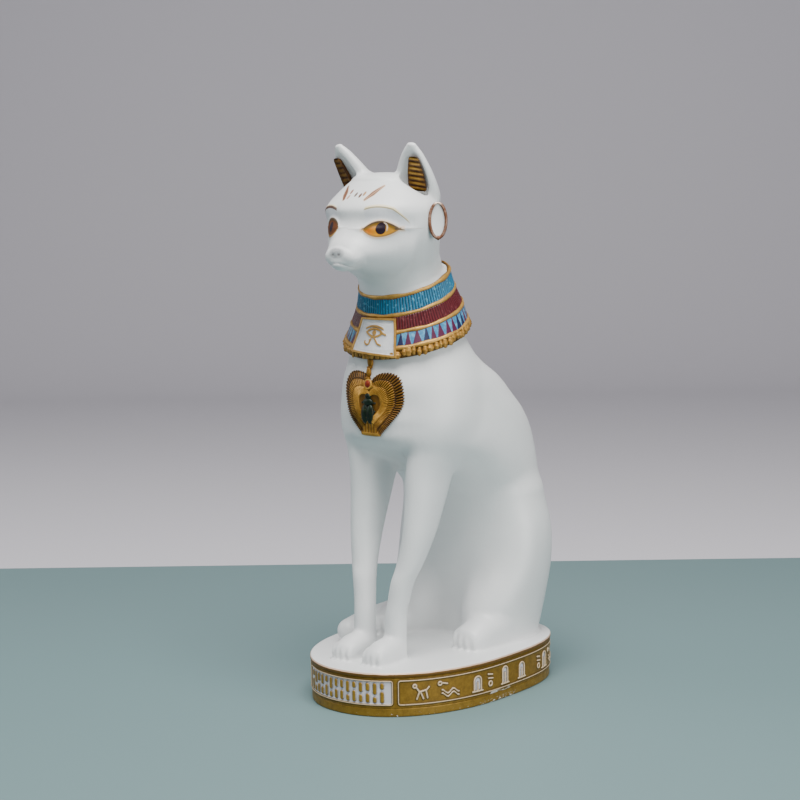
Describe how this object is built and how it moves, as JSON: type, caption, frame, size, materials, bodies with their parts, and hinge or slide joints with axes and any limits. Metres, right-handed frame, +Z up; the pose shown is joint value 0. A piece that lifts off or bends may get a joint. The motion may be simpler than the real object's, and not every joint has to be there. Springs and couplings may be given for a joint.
{
  "type": "seated cat figure",
  "caption": "Painted resin statuette of a seated ancient Egyptian style cat with a broad collar, scarab pendant and earrings, cast in one with a low oval plinth",
  "frame": {"origin": "middle of the plinth's flat underside", "axes": "+Z up from the underside to the ears, the cat looks along -Y, and its left side is +X"},
  "size_m": [0.0726, 0.1014, 0.2001],
  "materials": {
    "painted_resin": "satin white paint with gilt, blue and maroon details"
  },
  "bodies": {
    "root": {"cat_figure": "painted_resin"}
  },
  "joints": []
}
